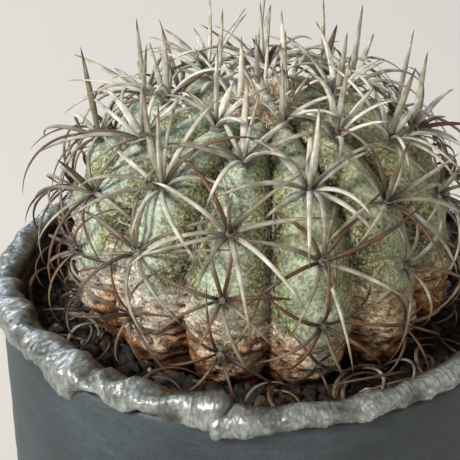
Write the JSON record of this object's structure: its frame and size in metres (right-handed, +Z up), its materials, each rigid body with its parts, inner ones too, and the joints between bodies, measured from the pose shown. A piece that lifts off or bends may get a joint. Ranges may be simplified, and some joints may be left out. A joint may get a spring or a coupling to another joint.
{
  "type": "potted round cactus",
  "caption": "Round ribbed cactus with stout spines, standing in a straight dark clay pot with a rough thick metallic-glazed rim.",
  "frame": {"origin": "under the middle of the pot, on the surface that it stands on", "axes": "+Z up the pot's axis, -Y towards the front, where the rim coil's ends lap just left of centre, +X to the right"},
  "size_m": [0.1399, 0.1399, 0.1729],
  "materials": {
    "pot_clay": "matte slate slip on fired clay",
    "rim_glaze": "crinkled pewter glaze, satin",
    "mesh_plastic": "moulded",
    "potting_mix": "loose, dull",
    "lava_grit": "rough dark grains",
    "cactus_skin": "waxy blue-green skin, corky brown towards the base",
    "wool": "felted wool",
    "spine": "weathered grey-brown horn"
  },
  "bodies": {
    "root": {"pot": "pot_clay", "rim_coil": "rim_glaze", "drain_mesh": "mesh_plastic", "soil": "potting_mix", "grit": "lava_grit", "cactus_stem": "cactus_skin", "crown_wool": "wool", "spines_rib01_1": "spine", "spines_rib01_2": "spine", "spines_rib01_3": "spine", "spines_rib01_4": "spine", "spines_rib02_1": "spine", "spines_rib02_2": "spine", "spines_rib02_3": "spine", "spines_rib02_4": "spine", "spines_rib03_1": "spine", "spines_rib03_2": "spine", "spines_rib03_3": "spine", "spines_rib03_4": "spine", "spines_rib04_1": "spine", "spines_rib04_2": "spine", "spines_rib04_3": "spine", "spines_rib04_4": "spine", "spines_rib05_1": "spine", "spines_rib05_2": "spine", "spines_rib05_3": "spine", "spines_rib05_4": "spine", "spines_rib06_1": "spine", "spines_rib06_2": "spine", "spines_rib06_3": "spine", "spines_rib06_4": "spine", "spines_rib07_1": "spine", "spines_rib07_2": "spine", "spines_rib07_3": "spine", "spines_rib07_4": "spine", "spines_rib08_1": "spine", "spines_rib08_2": "spine", "spines_rib08_3": "spine", "spines_rib08_4": "spine", "spines_rib09_1": "spine", "spines_rib09_2": "spine", "spines_rib09_3": "spine", "spines_rib09_4": "spine", "spines_rib10_1": "spine", "spines_rib10_2": "spine", "spines_rib10_3": "spine", "spines_rib10_4": "spine", "spines_rib11_1": "spine", "spines_rib11_2": "spine", "spines_rib11_3": "spine", "spines_rib11_4": "spine", "spines_rib12_1": "spine", "spines_rib12_2": "spine", "spines_rib12_3": "spine", "spines_rib12_4": "spine", "spines_rib13_1": "spine", "spines_rib13_2": "spine", "spines_rib13_3": "spine", "spines_rib13_4": "spine"}
  },
  "joints": []
}
